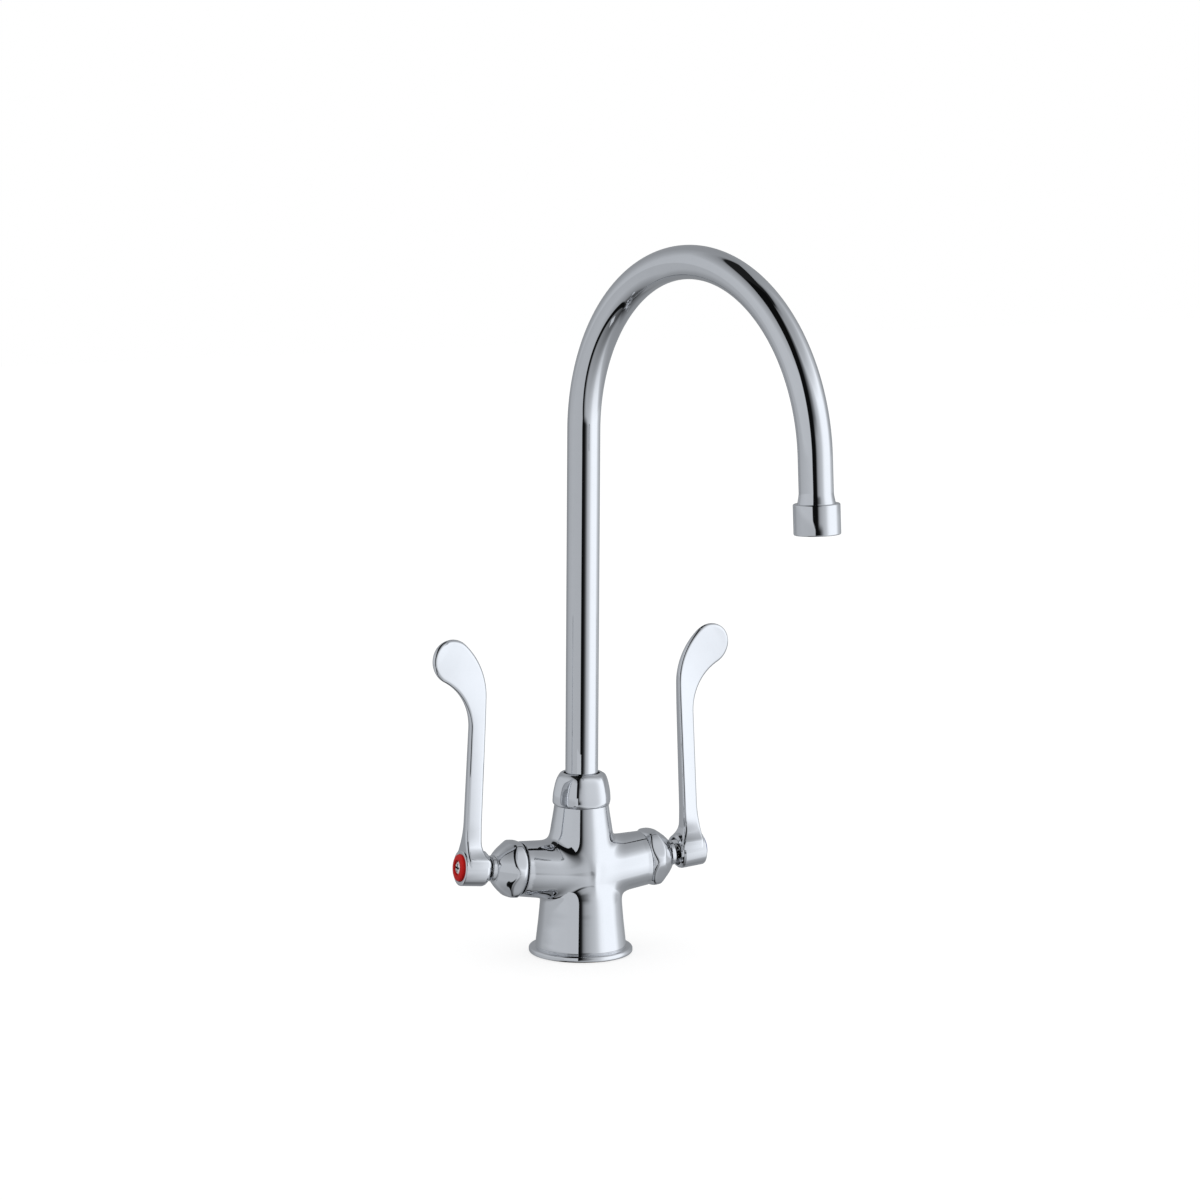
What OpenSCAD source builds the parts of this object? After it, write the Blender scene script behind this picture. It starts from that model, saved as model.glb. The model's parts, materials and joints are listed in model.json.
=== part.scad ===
// Deck-mounted gooseneck faucet: one cast body, a swivelling gooseneck spout,
// and two wrist-blade handles on quarter-turn ceramic valves.
// The origin is the centre of the base flange's underside, on the sink deck.
// +Z is up, the hot valve is at -X and the cold valve at +X, and a spout that
// is not swung points to -Y.

/* [Body casting] */
// Diameter of the round flange that sits on the deck
flange_d = 59.4; // [56:0.1:64]
// Thickness of the flange
flange_h = 3.6; // [3.2:0.1:5]
// Diameter of the base just above the flange
base_low_d = 51.2; // [49:0.1:53]
// Diameter of the base where the arms begin
base_high_d = 46.8; // [45:0.1:48.5]
// Height at which the base meets the arms
base_h = 30; // [27:0.5:31]
// Diameter of the neck above the arms
neck_low_d = 35; // [34.2:0.1:37.4]
// Height of the neck's root above the arms
neck_low_z = 74; // [72:0.5:77]
// Width of the ledge that the spout nut sits over, round the spigot
neck_ledge = 3.1; // [2.8:0.1:4]
// Height of the neck's top rim
body_h = 86; // [84:0.5:92]

/* [Valve arms] */
// Height of the point where the two arm axes meet
arm_z = 47.6; // [46:0.1:49]
// Angle by which each arm rises outwards
arm_tilt = 5.6; // [3:0.1:7]
// Distance from the body axis to the end of an arm
arm_reach = 38.5; // [37:0.5:42]
// Diameter of an arm at its end
arm_end_d = 31.4; // [30:0.1:33]
// Draft of an arm, as growth of its radius for each millimetre inwards
arm_draft = 0.05; // [0.02:0.01:0.08]
// Extra radius of the flared arm root at the body axis
arm_flare = 3; // [1:0.1:4]

/* [Spout] */
// Outside diameter of the spout tube
tube_d = 18.6; // [17.8:0.1:19]
// Wall thickness of the spout tube
tube_wall = 1.25; // [1:0.05:1.6]
// Radius of the gooseneck bend, on the tube's centre line
bend_r = 101.6; // [80:0.1:125]
// Angle through which the gooseneck bends
bend_angle = 176.3; // [170:0.1:180]
// Height at which the bend begins
riser_top = 300.5; // [240:0.5:360]
// Length from the end of the bend to the outlet's lower rim
drop_len = 41; // [36:0.5:60]
// Angle by which the spout is swung to the cold side at rest
spout_swing = 13.2; // [-30:0.1:30]

/* [Spout nut] */
// Wall of the ferrule round the tube's foot
ferrule_wall = 1.05; // [0.9:0.05:1.3]
// Wall of the threaded spigot that the spout nut screws onto
spigot_wall = 2.1; // [1.9:0.05:2.4]
// Depth of the spout nut's widest corners outside the spigot
spout_nut_wall = 5; // [4.6:0.1:6]
// Height of the spout nut
spout_nut_h = 18; // [17.5:0.1:20]
// Height of the spigot above the neck's rim
spigot_h = 8; // [7:0.1:8.5]
// Height of the socket's floor
socket_floor_z = 66; // [65:0.5:68]

/* [Outlet] */
// How far the outlet shell stands out from the tube, all round
outlet_wall = 3.3; // [3:0.1:4.2]
// Height of the outlet shell
outlet_h = 16.6; // [15:0.1:20]
// How far the tube's end flares out above the shell, all round
tube_flare = 0.9; // [0.5:0.1:1.1]
// Number of flow holes in each ring of the flow insert
flow_holes = 12; // [6:1:16]

/* [Valves] */
// Diameter of the smooth valve chamber in each arm
chamber_d = 19; // [18.6:0.1:19.4]
// Diameter of the threaded mouth of each arm
arm_thread_d = 25; // [24:0.1:26]
// Distance from the body axis to the floor of the valve chamber
chamber_floor = 16; // [15.5:0.1:16.5]
// Distance from the body axis to the step below the threaded mouth
chamber_step = 27; // [26.5:0.1:28]
// Diameter of the valve stem
stem_d = 9; // [8.6:0.1:9.4]
// Diameter of the ceramic discs
disc_d = 15.2; // [14.6:0.1:15.6]
// Thickness of each ceramic disc
disc_h = 1.7; // [1.4:0.1:2]
// Thickness of the rubber seat under the fixed disc
seat_h = 2; // [1.6:0.1:2.4]
// Size of a bonnet across its corners, at its widest
bonnet_d = 35; // [34.2:0.1:36.4]
// Length of a bonnet's visible part
bonnet_len = 18.3; // [17.6:0.1:20]
// Diameter of the round lip at a bonnet's outer end
lip_d = 14.6; // [14:0.1:15.6]

/* [Handles] */
// Distance from the body axis to the inner end of a handle hub
hub_in = 59.5; // [59.3:0.1:62]
// Length of a handle hub
hub_len = 15.7; // [15.2:0.1:18]
// Diameter of a handle hub
hub_d = 20.4; // [19.6:0.1:22]
// Distance from the hub's inner end to the centre line of the blade's root
blade_root = 9.25; // [8.6:0.05:9.6]
// Angle by which the blade leans outwards from square to the valve axis
blade_lean = 2.9; // [1:0.1:4]
// Width of the straight part of the blade
blade_w = 10; // [9:0.1:10.8]
// Height of the paddle's centre above the valve axis
paddle_rise = 118.2; // [117:0.1:122]
// Distance of the paddle's centre outwards from the blade's centre line
paddle_out = 16.4; // [15:0.1:18]
// Radius of the paddle's round end
paddle_r = 12.4; // [11.5:0.1:13.5]
// Thickness of the blade's inner edge just above the hub
blade_thick = 9.4; // [8.4:0.1:10.6]
// Angle by which both blades' faces turn towards the cold side
blade_twist = 9.5; // [0:0.5:12]
// Thickness of the paddle
paddle_thick = 3.4; // [2.8:0.1:4.2]
// Diameter of the coloured index ring
index_d = 15.3; // [14.6:0.1:16]

/* [Deck fixing] */
// Outside diameter of the threaded mounting shank
shank_d = 31; // [30:0.1:32]
// Bore of the mounting shank
shank_bore_d = 24; // [23.4:0.1:25]
// Thickness of deck that the fixing is drawn gripping
deck_gap = 25; // [10:0.5:40]
// Diameter of the washers under the deck
washer_d = 54; // [48:0.5:60]
// Size of the lock nut across its flats
lock_nut_af = 42; // [40:0.5:46]
// Height of the lock nut
lock_nut_h = 9; // [7:0.5:12]

/* [Clearances] */
// Radial clearance of a shaft that turns in its bore
run_gap = 0.05; // [0.03:0.01:0.08]
// Radial clearance of a screw thread, drawn as plain cylinders
thread_gap = 0.05; // [0.02:0.01:0.1]
// Gap between faces that slide on each other
face_gap = 0.05; // [0.03:0.01:0.08]

/* [Hidden] */
$fn = 72;
hull_fn = 32;
overcut = 1;               // how far a cutter runs past the face that it opens
hex_flat = cos(30);        // across-flats size of a hexagon with corners at 1

// Body casting
neck_mid_d = 37.8;         // casting diameter behind the arms
neck_mid_z = 62;
arm_edge = 0.6;            // chamfer round an arm's end
flare_end = 27;            // distance at which the arm's flare has died out
gasket_in_d = shank_d + 9;
gasket_out_d = flange_d - 5.6;
gasket_h = 1.5;
shank_seat_z = 12;         // roof of the shank's threaded hole
cavity_roof_z = 22;        // roof of the room for the supply connectors
inlet_d = 9.8;             // threaded inlet, for a 10 mm supply connector
inlet_depth = 9;
inlet_x = 6.4;
way_r = 3.3;               // radius of the drilled water ways
mixing_r = 6;
mixing_floor_z = arm_z + 5.2;
cross_way_z = arm_z + 9.8;

// Spout swivel
socket_d = tube_d + 2 * ferrule_wall + 2 * run_gap;
spigot_d = socket_d + 2 * spigot_wall;
neck_high_d = spigot_d + 2 * neck_ledge;
spout_nut_d = spigot_d + 2 * spout_nut_wall;
spout_angle = -90 + spout_swing;
nut_z = body_h + 0.3;
spigot_top = body_h + spigot_h;
nut_bore_top = nut_z + 11.3;
nut_opening_d = tube_d + 2;
nut_turn = -2;             // how the nut's corners stand at rest
ring_section = 1.78;       // thickness of the spout's O-rings
ferrule_d = socket_d - 2 * run_gap;
ferrule_bottom = socket_floor_z + 1;
ferrule_bore_d = tube_d - 2 * ferrule_wall - 3.1;
groove_d = ferrule_d - 2 * ring_section - 2 * run_gap;
groove_w = 2.3;
groove_z = [ferrule_bottom + 3, ferrule_bottom + 8];
tube_seat_z = ferrule_bottom + 14;
glide_h = 0.8;             // thickness of the plastic glide rings
collar_z = spigot_top + glide_h + face_gap;
collar_h = nut_bore_top - collar_z - glide_h - face_gap;
collar_d = spigot_d - 0.6;

// Gooseneck and outlet, measured along the tube from the end of the bend
tip_turn = 180 - bend_angle;
seam_rise = 0.05;          // extra radius of the seam that joins riser and bend
shell_top = drop_len - outlet_h;
outlet_d = tube_d + 2 * outlet_wall;
tube_flare_d = tube_d + 2 * tube_flare;
adapter_d = outlet_d - 2.8;
adapter_h = 9;
adapter_top = shell_top + 1.4;
flare_h = 6;
gasket_t = 1.2;
insert_h = 4;
insert_z = adapter_top + adapter_h + gasket_t;
insert_d = adapter_d - 0.4;
flow_hole_d = insert_d * 0.073;

// Valves, measured along the arm axis from the body axis
disc_z = chamber_floor + seat_h;
stem_foot_z = disc_z + 2 * disc_h + face_gap;
stem_foot_h = 2;
stem_foot_d = disc_d - 1.6;
cage_top = stem_foot_z + stem_foot_h + 0.6;
shoulder_h = 2.8;
shoulder_d = arm_thread_d - 1;
skirt_start = chamber_step + shoulder_h;
skirt_bore_d = arm_thread_d - 4;
guide_d = skirt_bore_d - 1.4;
guide_len = 19.5;
guide_top = chamber_step + guide_len;
window_w = disc_d * 0.53;
window_h = 2.4;
clip_h = 0.8;
clip_d = 13;
clip_groove_d = stem_d - 1.2;
clip_mouth = 4;            // width of the clip's open side
bonnet_z = arm_reach + 0.4;
bonnet_cavity_top = guide_top + clip_h + 1.2;
lip_bore_d = stem_d + 2.2;
bonnet_end = bonnet_z + bonnet_len;
lip_len = 2.6;
bonnet_turn = 30;          // how the bonnets' corners stand at rest
stem_ring_section = 1.4;
stem_groove_d = stem_d - 2 * stem_ring_section - 2 * run_gap;
stem_ring_z = chamber_step + guide_len * 0.56;
stem_groove_w = stem_ring_section + 0.4;
body_ring_section = 1.4;
body_ring_z = chamber_step - 0.4 * (chamber_step - chamber_floor);
body_groove_d = chamber_d - 2 * body_ring_section - 2 * run_gap;
body_groove_w = body_ring_section + 0.5;

// Handles, measured along the arm axis from the body axis
hub_out = hub_in + hub_len;
hub_recess_d = 16;
hub_recess_h = 4;
drive_size = stem_d * 0.7;
drive_top = hub_out - 5.2;
drive_floor = hub_in + hub_recess_h - 1;
index_recess = 1.4;
index_out = 1.9;           // how far the index ring stands out of the hub
index_hole_d = 8.6;
head_d = 7.8;
head_h = 4.5;
cross_len = 4.8;           // size of the cross slot in the screw's head
cross_w = 1.1;
cross_depth = 1.6;
head_seat = hub_out - 3;
screw_d = 4;
screw_tip = head_seat - 11;

// Wrist blade: p runs outwards along the valve axis and q up the blade
outer_bend_r = 30;         // concave bend of the blade's outer edge
inner_bend_r = 40;         // convex bend of the blade's inner edge
half_w = blade_w / 2;
outer_q = paddle_rise - sqrt(pow(outer_bend_r + paddle_r, 2)
        - pow(half_w + outer_bend_r - paddle_out, 2));
inner_q = paddle_rise - sqrt(pow(inner_bend_r - paddle_r, 2)
        - pow(inner_bend_r - half_w - paddle_out, 2));
outer_end = atan2(paddle_rise - outer_q, paddle_out - half_w - outer_bend_r);
inner_end = atan2(paddle_rise - inner_q, paddle_out + half_w - inner_bend_r);
cap_mid = (inner_end + outer_end - 180) / 2;
cap_half = (inner_end - outer_end + 180) / 2;
outer_thick_share = 0.68;  // the outer edge's thickness as a share of the inner's
root_q = 5;                // where the blade starts, inside the hub
root_flare_q = 27;         // height at which the outer edge's root flare has died out
inner_flare_q = 17;        // the same for the inner edge
root_spread = 4.2;         // how far the root's inner edge spreads along the hub
spread_q = 15;
twist_start_q = 12;        // height at which the blade's twist begins
strap_steps = 8;
bend_steps = 9;
cap_steps = 7;
corner = 0.28;             // corner rounding as a share of the blade's thickness

// Deck fixing, downwards from the deck's top
rubber_h = 3;
steel_h = 1.6;
shank_stub = 5;
rubber_z = -deck_gap - rubber_h;
steel_z = rubber_z - steel_h;
lock_nut_z = steel_z - lock_nut_h;
shank_bottom = lock_nut_z - shank_stub;
washer_hole_d = shank_d + 1;

HOT = -1;
COLD = 1;

// Placing

// Puts children on a valve axis: z runs outwards, x upwards and y to the front
module on_arm(side)
    mirror([side < 0 ? 1 : 0, 0, 0])
        translate([0, 0, arm_z])
            rotate([0, 90 - arm_tilt, 0])
                rotate([0, 0, 180])
                    children();

// Puts children in the plane of the spout: x runs outwards and z up
module in_spout_plane()
    rotate([0, 0, spout_angle])
        children();

// Puts children at the end of the bend: z runs along the tube to the outlet
module at_bend_end()
    in_spout_plane()
        translate([bend_r, 0, riser_top])
            rotate([90, 0, 0])
                rotate([0, 0, tip_turn])
                    translate([bend_r, 0, 0])
                        rotate([90, 0, 0])
                            children();

// Shapes that repeat

module ring(d_out, d_in, z, h)
    translate([0, 0, z])
        difference() {
            cylinder(d = d_out, h = h);
            translate([0, 0, -overcut])
                cylinder(d = d_in, h = h + 2 * overcut);
        }

module bore(d, z_from, z_to)
    translate([0, 0, z_from])
        cylinder(d = d, h = z_to - z_from);

module o_ring(d_in, section, z)
    translate([0, 0, z])
        rotate_extrude()
            translate([(d_in + section) / 2, 0])
                circle(d = section, $fn = hull_fn);

// A hexagonal crown through a list of [corner diameter, height] pairs
module hex_crown(stations)
    hull()
        for (s = stations)
            translate([0, 0, s[1]])
                cylinder(d = s[0], h = 0.01, $fn = 6);

// Body

function arm_radius(s) = arm_end_d / 2 + arm_draft * (arm_reach - s)
    + (s < flare_end ? arm_flare * pow(1 - s / flare_end, 2) : 0);

module arm_solid(side)
    on_arm(side)
        rotate_extrude()
            polygon(concat([[0, 0]],
                [for (s = [0 : 4.5 : flare_end]) [arm_radius(s), s]],
                [[arm_end_d / 2, arm_reach - arm_edge],
                 [arm_end_d / 2 - arm_edge, arm_reach],
                 [0, arm_reach]]));

module column_solid() {
    rotate_extrude()
        polygon([[0, 0], [flange_d / 2 - flange_h / 2, 0],
                 [flange_d / 2 - flange_h / 2, flange_h],
                 [base_low_d / 2, flange_h], [base_high_d / 2, base_h],
                 [neck_mid_d / 2, neck_mid_z], [neck_low_d / 2, neck_low_z],
                 [neck_high_d / 2, body_h - arm_edge],
                 [neck_high_d / 2 - arm_edge, body_h], [0, body_h]]);
    rotate_extrude()
        translate([flange_d / 2 - flange_h / 2, flange_h / 2])
            circle(d = flange_h, $fn = 16);
    translate([0, 0, body_h - overcut])
        cylinder(d = spigot_d, h = spigot_h + overcut);
}

module valve_chamber(side) {
    on_arm(side) {
        bore(chamber_d, chamber_floor, arm_reach);
        bore(arm_thread_d, chamber_step, arm_reach + overcut);
        bore(2 * way_r, inlet_x, chamber_floor + overcut);
    }
    translate([side * inlet_x, 0, cavity_roof_z - overcut]) {
        cylinder(d = inlet_d, h = inlet_depth + overcut);
        cylinder(r = way_r, h = arm_z - cavity_roof_z + overcut);
    }
}

module body_casting()
    color([0.80, 0.81, 0.83])
        difference() {
            union() {
                column_solid();
                arm_solid(HOT);
                arm_solid(COLD);
            }
            valve_chamber(HOT);
            valve_chamber(COLD);
            bore(socket_d, socket_floor_z, spigot_top + overcut);
            bore(2 * mixing_r, mixing_floor_z, socket_floor_z + overcut);
            translate([-chamber_floor - 6, 0, cross_way_z])
                rotate([0, 90, 0])
                    cylinder(r = way_r, h = 2 * (chamber_floor + 6));
            bore(shank_d + 2 * thread_gap, -overcut, shank_seat_z);
            bore(shank_bore_d + 4, 0, cavity_roof_z);
            ring(gasket_out_d, gasket_in_d, -overcut, gasket_h + overcut);
        }

module base_gasket()
    color([0.12, 0.12, 0.12])
        ring(gasket_out_d, gasket_in_d, 0, gasket_h);

// Deck fixing

module mounting_shank()
    color([0.78, 0.64, 0.36])
        ring(shank_d, shank_bore_d, shank_bottom, shank_seat_z - shank_bottom);

module deck_washer()
    color([0.12, 0.12, 0.12])
        ring(washer_d, washer_hole_d, rubber_z, rubber_h);

module backing_washer()
    color([0.70, 0.71, 0.72])
        ring(washer_d - 2, washer_hole_d, steel_z, steel_h);

module lock_nut()
    color([0.78, 0.64, 0.36])
        translate([0, 0, lock_nut_z])
            difference() {
                cylinder(d = lock_nut_af / hex_flat, h = lock_nut_h, $fn = 6);
                bore(shank_d + 2 * thread_gap, -overcut, lock_nut_h + overcut);
            }

// Spout nut and swivel

module spout_nut()
    color([0.80, 0.81, 0.83])
        difference() {
            rotate([0, 0, nut_turn])
                hex_crown([
                    [spout_nut_d - 2.6, nut_z],
                    [spout_nut_d, nut_z + 1.8],
                    [spout_nut_d - 0.5, nut_z + 0.33 * spout_nut_h],
                    [spout_nut_d - 2, nut_z + 0.58 * spout_nut_h],
                    [spout_nut_d - 4.2, nut_z + 0.78 * spout_nut_h],
                    [spout_nut_d - 6.6, nut_z + 0.92 * spout_nut_h],
                    [spout_nut_d - 9.6, nut_z + spout_nut_h - 0.01]]);
            bore(spigot_d + 2 * thread_gap, nut_z - overcut, nut_bore_top);
            bore(nut_opening_d, nut_z, nut_z + spout_nut_h + overcut);
        }

module lower_glide_ring()
    color([0.93, 0.93, 0.90])
        ring(collar_d, socket_d, spigot_top, glide_h);

module upper_glide_ring()
    color([0.93, 0.93, 0.90])
        ring(collar_d, nut_opening_d + 0.4, nut_bore_top - glide_h, glide_h);

module spout_ferrule()
    color([0.78, 0.64, 0.36])
        difference() {
            union() {
                bore(ferrule_d, ferrule_bottom, collar_z + overcut);
                bore(collar_d, collar_z, collar_z + collar_h);
            }
            bore(ferrule_bore_d, ferrule_bottom - overcut, tube_seat_z + overcut);
            bore(tube_d, tube_seat_z, collar_z + collar_h + overcut);
            for (z = groove_z)
                ring(ferrule_d + overcut, groove_d, z - groove_w / 2, groove_w);
        }

module spout_o_rings()
    color([0.12, 0.12, 0.12])
        for (z = groove_z)
            o_ring(groove_d, ring_section, z);

// Gooseneck and outlet

module gooseneck(r) {
    in_spout_plane() {
        bore(2 * r, tube_seat_z, riser_top);
        bore(2 * (r + seam_rise), riser_top - 1.5, riser_top + 1.5);
        translate([bend_r, 0, riser_top])
            rotate([90, 0, 0])
                rotate([0, 0, tip_turn])
                    rotate_extrude(angle = bend_angle)
                        translate([bend_r, 0])
                            circle(r = r);
    }
    at_bend_end()
        bore(2 * r, 0, adapter_top + adapter_h);
}

module spout_tube()
    color([0.80, 0.81, 0.83])
        difference() {
            union() {
                gooseneck(tube_d / 2);
                at_bend_end()
                    translate([0, 0, shell_top - flare_h])
                        cylinder(d1 = tube_d, d2 = tube_flare_d, h = flare_h);
            }
            gooseneck(tube_d / 2 - tube_wall);
            in_spout_plane()
                bore(tube_d - 2 * tube_wall, tube_seat_z - overcut, tube_seat_z + overcut);
            at_bend_end()
                bore(tube_d - 2 * tube_wall, adapter_top, drop_len);
        }

module outlet_adapter()
    color([0.78, 0.64, 0.36])
        at_bend_end()
            ring(adapter_d, tube_d, adapter_top, adapter_h);

module outlet_shell()
    color([0.80, 0.81, 0.83])
        at_bend_end()
            difference() {
                translate([0, 0, shell_top])
                    rotate_extrude()
                        polygon([[0, 0], [outlet_d / 2 - 1.1, 0], [outlet_d / 2, 1],
                                 [outlet_d / 2, outlet_h - 0.5],
                                 [outlet_d / 2 - 0.5, outlet_h], [0, outlet_h]]);
                bore(tube_d + 2 * thread_gap, shell_top - overcut, adapter_top + overcut);
                bore(adapter_d + 2 * thread_gap, adapter_top, insert_z + insert_h);
                bore(insert_d - 2, insert_z, drop_len + overcut);
            }

module outlet_gasket()
    color([0.12, 0.12, 0.12])
        at_bend_end()
            ring(insert_d, tube_d - 2, adapter_top + adapter_h, gasket_t);

module flow_insert()
    color([0.85, 0.86, 0.88])
        at_bend_end()
            difference() {
                bore(insert_d, insert_z, insert_z + insert_h);
                for (r = [insert_d * 0.2, insert_d * 0.34], i = [0 : flow_holes - 1])
                    rotate([0, 0, i * 360 / flow_holes])
                        translate([r, 0, 0])
                            bore(flow_hole_d, insert_z - overcut, insert_z + insert_h + overcut);
            }

// Valves

module seat(side)
    color([0.12, 0.12, 0.12])
        on_arm(side)
            ring(disc_d, 2 * way_r + 3, chamber_floor, seat_h);

module fixed_disc(side)
    color([0.95, 0.94, 0.90])
        on_arm(side)
            difference() {
                bore(disc_d, disc_z, disc_z + disc_h);
                disc_ports(disc_z);
            }

module moving_disc(side)
    color([0.95, 0.94, 0.90])
        on_arm(side)
            difference() {
                bore(disc_d, disc_z + disc_h + face_gap, stem_foot_z);
                disc_ports(disc_z + disc_h);
            }

// Two round ports, opposite each other, through a disc at height z
module disc_ports(z)
    for (turn = [0, 180])
        rotate([0, 0, turn])
            translate([disc_d * 0.27, 0, 0])
                bore(disc_d * 0.27, z - overcut, z + disc_h + overcut);

module cartridge(side)
    color([0.78, 0.64, 0.36])
        on_arm(side)
            difference() {
                union() {
                    bore(chamber_d - 2 * thread_gap, disc_z, chamber_step + overcut);
                    bore(shoulder_d, chamber_step, skirt_start);
                    bore(guide_d, chamber_step, guide_top);
                }
                bore(disc_d + 0.8, disc_z - overcut, cage_top);
                bore(stem_d + 2 * run_gap, disc_z, guide_top + overcut);
                ring(chamber_d + overcut, body_groove_d,
                     body_ring_z - body_groove_w / 2, body_groove_w);
                translate([0, 0, disc_z + 2 * disc_h])
                    cube([chamber_d + overcut, window_w, window_h], center = true);
            }

module cartridge_ring(side)
    color([0.12, 0.12, 0.12])
        on_arm(side)
            o_ring(body_groove_d, body_ring_section, body_ring_z);

module stem(side)
    color([0.78, 0.64, 0.36])
        on_arm(side)
            difference() {
                union() {
                    bore(stem_foot_d, stem_foot_z, stem_foot_z + stem_foot_h);
                    bore(stem_d, stem_foot_z, drive_floor);
                    translate([-drive_size / 2, -drive_size / 2, drive_floor])
                        cube([drive_size, drive_size, drive_top - drive_floor]);
                }
                ring(stem_d + overcut, stem_groove_d,
                     stem_ring_z - stem_groove_w / 2, stem_groove_w);
                ring(stem_d + overcut, clip_groove_d, guide_top + face_gap, clip_h);
                bore(screw_d, screw_tip, drive_top + overcut);
            }

module stem_ring(side)
    color([0.12, 0.12, 0.12])
        on_arm(side)
            o_ring(stem_groove_d, stem_ring_section, stem_ring_z);

module clip(side)
    color([0.70, 0.71, 0.72])
        on_arm(side)
            difference() {
                ring(clip_d, clip_groove_d, guide_top + face_gap, clip_h);
                translate([0, -clip_mouth / 2, guide_top])
                    cube([clip_d, clip_mouth, 2 * clip_h]);
            }

module bonnet(side)
    color([0.80, 0.81, 0.83])
        on_arm(side)
            difference() {
                union() {
                    intersection() {
                        rotate([0, 0, bonnet_turn])
                            hex_crown([[bonnet_d, bonnet_z], [bonnet_d, bonnet_end - lip_len]]);
                        translate([0, 0, bonnet_z])
                            rotate_extrude()
                                polygon([
                                    [0, 0], [arm_end_d / 2 - 0.4, 0],
                                    [bonnet_d / 2 - 0.8, 0.11 * bonnet_len],
                                    [bonnet_d / 2 + 0.4, 0.25 * bonnet_len],
                                    [bonnet_d / 2 - 0.2, 0.36 * bonnet_len],
                                    [bonnet_d / 2 - 2, 0.50 * bonnet_len],
                                    [bonnet_d / 2 - 3.7, 0.63 * bonnet_len],
                                    [bonnet_d / 2 - 5.5, 0.75 * bonnet_len],
                                    [lip_d / 2 + 1.8, bonnet_len - lip_len],
                                    [0, bonnet_len - lip_len]]);
                    }
                    bore(lip_d, bonnet_end - lip_len - overcut, bonnet_end);
                    bore(arm_thread_d - 2 * thread_gap, skirt_start, bonnet_z + overcut);
                }
                bore(skirt_bore_d, skirt_start - overcut, bonnet_cavity_top);
                bore(lip_bore_d, skirt_start, bonnet_end + overcut);
            }

// Handles

// Edge points of the blade at stage t: 0 to 1 along the straight strap,
// 1 to 2 round the bend and 2 to 3 round the paddle's end
function inner_edge(t) =
    t < 1 ? strap_edge(root_q + t * (outer_q - root_q)) :
    t < 1.4 ? strap_edge(outer_q + (t - 1) / 0.4 * (inner_q - outer_q)) :
    t < 2 ? [-half_w + inner_bend_r, inner_q]
        + inner_bend_r * direction(180 - (t - 1.4) / 0.6 * (180 - inner_end)) :
    paddle_point(cap_mid + (3 - t) * cap_half);
function outer_edge(t) =
    t < 1 ? [half_w, root_q + t * (outer_q - root_q)] :
    t < 2 ? [half_w + outer_bend_r, outer_q]
        + outer_bend_r * direction(180 - (t - 1) * (180 - outer_end)) :
    paddle_point(cap_mid - (3 - t) * cap_half);
function direction(angle) = [cos(angle), sin(angle)];
function paddle_point(angle) = [paddle_out, paddle_rise] + paddle_r * direction(angle);

// The strap's inner edge, which spreads towards the hub's inner end
function strap_edge(q) =
    [-half_w - (q < spread_q ? root_spread * pow((spread_q - q) / (spread_q - root_q), 2) : 0), q];

// Thickness at an edge point: tapers up the strap, flares into the hub
function taper(q) = max(0, 1 - q / (paddle_rise + paddle_r));
function root_flare(q, top) = q < top ? pow((top - q) / (top - root_q), 2) : 0;
function inner_thick(q) = paddle_thick + (blade_thick - paddle_thick) * pow(taper(q), 0.6)
    + (hub_d - blade_thick - 2) * root_flare(q, inner_flare_q);
function outer_thick(q) = paddle_thick
    + (outer_thick_share * blade_thick - paddle_thick) * pow(taper(q), 0.6)
    + (hub_d - outer_thick_share * blade_thick - 2) * root_flare(q, root_flare_q);

// Blade frame to valve-axis frame: x up, y front, z outwards
function blade_point(pq, y) = [
    pq[1] * cos(blade_lean) - pq[0] * sin(blade_lean), y,
    hub_in + blade_root + pq[0] * cos(blade_lean) + pq[1] * sin(blade_lean)];

// Slope of the twisted blade's faces at height q: the twist sets in above the root
function twist_slope(side, q) = -side * tan(blade_twist)
    * min(1, max(0, (q - twist_start_q) / (root_flare_q - twist_start_q)));

// One closed section through the blade, with chamfered corners
function blade_section(side, t) =
    let (a = inner_edge(t), b = outer_edge(t), ta = inner_thick(a[1]) / 2,
         tb = outer_thick(b[1]) / 2, w = norm(b - a), u = (b - a) / w,
         ca = min(2 * corner * ta, w * 0.24), cb = min(2 * corner * tb, w * 0.24),
         slope = twist_slope(side, a[1]), ya = -slope * w / 2, yb = slope * w / 2)
    [blade_point(a, ya + ta - ca), blade_point(a + u * ca, ya + slope * ca + ta),
     blade_point(b - u * cb, yb - slope * cb + tb), blade_point(b, yb + tb - cb),
     blade_point(b, yb + cb - tb), blade_point(b - u * cb, yb - slope * cb - tb),
     blade_point(a + u * ca, ya + slope * ca - ta), blade_point(a, ya + ca - ta)];

blade_stages = concat(
    [for (i = [0 : strap_steps - 1]) pow(i / strap_steps, 1.4)],
    [for (i = [0 : bend_steps - 1]) 1 + i / bend_steps],
    [for (i = [0 : cap_steps - 1]) 2 + 0.97 * sin(i / (cap_steps - 1) * 90)]);

module blade(side) {
    m = 8;
    sections = [for (t = blade_stages) blade_section(side, t)];
    last = len(sections) - 1;
    points = [for (s = sections, p = s) p];
    sides = [for (k = [0 : last - 1], j = [0 : m - 1], half = [0, 1])
        let (a = k * m + j, b = k * m + (j + 1) % m)
        half == 0 ? [a, b + m, b] : [a, a + m, b + m]];
    first_cap = [for (j = [1 : m - 2]) [0, j, j + 1]];
    last_cap = [for (j = [1 : m - 2]) [last * m, last * m + j + 1, last * m + j]];
    polyhedron(points, concat(sides, first_cap, last_cap));
}

module hub_solid()
    translate([0, 0, hub_in])
        rotate_extrude()
            polygon([[0, 0], [hub_d / 2 - 1.6, 0], [hub_d / 2 - 0.4, 1.2],
                     [hub_d / 2, 2.4], [hub_d / 2, hub_len - 0.8],
                     [hub_d / 2 - 0.8, hub_len], [0, hub_len]]);

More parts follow.
